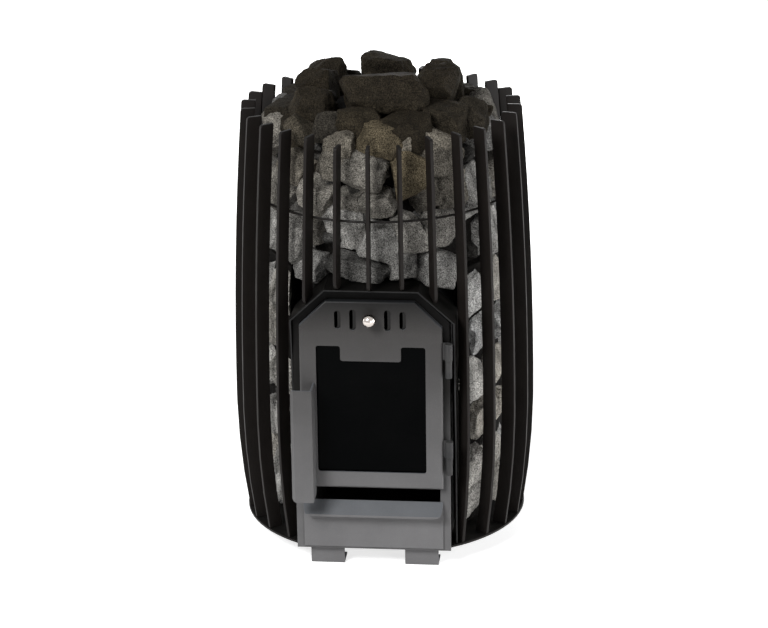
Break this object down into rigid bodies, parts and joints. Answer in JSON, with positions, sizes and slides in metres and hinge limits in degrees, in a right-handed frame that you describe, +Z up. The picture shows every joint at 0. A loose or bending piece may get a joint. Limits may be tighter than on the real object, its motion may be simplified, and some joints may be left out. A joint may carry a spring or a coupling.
{
  "type": "sauna stove",
  "caption": "Wood-burning sauna stove: a steel firebox with a glazed door, damper and ash drawer, inside a barrel-shaped cage of flat bars filled with stones.",
  "frame": {"origin": "on the floor, under the centre of the bounding box", "axes": "+Z up, the fire door faces -Y, the hinges are on the +X side"},
  "size_m": [0.55, 0.565, 0.8968],
  "materials": {
    "cage_paint": "satin black heat-resistant paint",
    "front_paint": "matt metallic grey heat-resistant paint",
    "dark_steel": "heat-darkened steel",
    "grate_iron": "raw casting",
    "knob_steel": "polished steel",
    "door_glass": "dark fire-resistant glass",
    "seal_rope": "heat-resistant rope",
    "stone": "rough split stone"
  },
  "bodies": {
    "stove": {"cage_bar_01": "cage_paint", "cage_bar_02": "cage_paint", "cage_bar_03": "cage_paint", "cage_bar_04": "cage_paint", "cage_bar_05": "cage_paint", "cage_bar_06": "cage_paint", "cage_bar_07": "cage_paint", "cage_bar_08": "cage_paint", "cage_bar_09": "cage_paint", "cage_bar_10": "cage_paint", "cage_bar_11": "cage_paint", "cage_bar_12": "cage_paint", "cage_bar_13": "cage_paint", "cage_bar_14": "cage_paint", "cage_bar_15": "cage_paint", "cage_bar_16": "cage_paint", "cage_bar_17": "cage_paint", "cage_bar_18": "cage_paint", "cage_bar_19": "cage_paint", "cage_bar_20": "cage_paint", "cage_bar_21": "cage_paint", "cage_bar_22": "cage_paint", "cage_bar_23": "cage_paint", "cage_bar_24": "cage_paint", "cage_bar_25": "cage_paint", "cage_bar_26": "cage_paint", "cage_bar_27": "cage_paint", "cage_bar_28": "cage_paint", "cage_hoop": "cage_paint", "base_plate": "cage_paint", "flue_pipe": "cage_paint", "door_surround": "front_paint", "front_plate": "front_paint", "foot_front_left": "front_paint", "foot_front_right": "front_paint", "foot_rear_left": "front_paint", "foot_rear_right": "front_paint", "firebox_shell": "dark_steel", "grate_shelf": "dark_steel", "flame_baffle": "dark_steel", "upper_hinge_pin": "dark_steel", "lower_hinge_pin": "dark_steel", "fire_grate": "grate_iron", "stones_left": "stone", "stones_right": "stone", "stones_rear": "stone", "stones_top_front": "stone", "stones_top_rear": "stone"},
    "door": {"door_panel": "front_paint", "door_glass": "door_glass", "glass_retainer": "dark_steel", "door_seal": "seal_rope", "door_handle": "front_paint", "upper_hinge_knuckle": "dark_steel", "lower_hinge_knuckle": "dark_steel", "damper_guide": "dark_steel"},
    "damper": {"damper_plate": "dark_steel", "damper_knob": "knob_steel"},
    "ash_drawer": {"ash_drawer_tray": "dark_steel", "ash_drawer_front": "front_paint"}
  },
  "joints": [
    {"name": "door_hinge", "type": "hinge", "parent": "stove", "child": "door", "pos_m": [0.1385, -0.2385, 0.313], "axis": [0, 0, 1], "range_deg": [0, 110]},
    {"name": "damper_slide", "type": "slide", "parent": "door", "child": "damper", "axis": [1, 0, 0], "range_m": [-0.00575, 0.00575]},
    {"name": "ash_drawer_slide", "type": "slide", "parent": "stove", "child": "ash_drawer", "axis": [0, -1, 0], "range_m": [0, 0.25]}
  ]
}
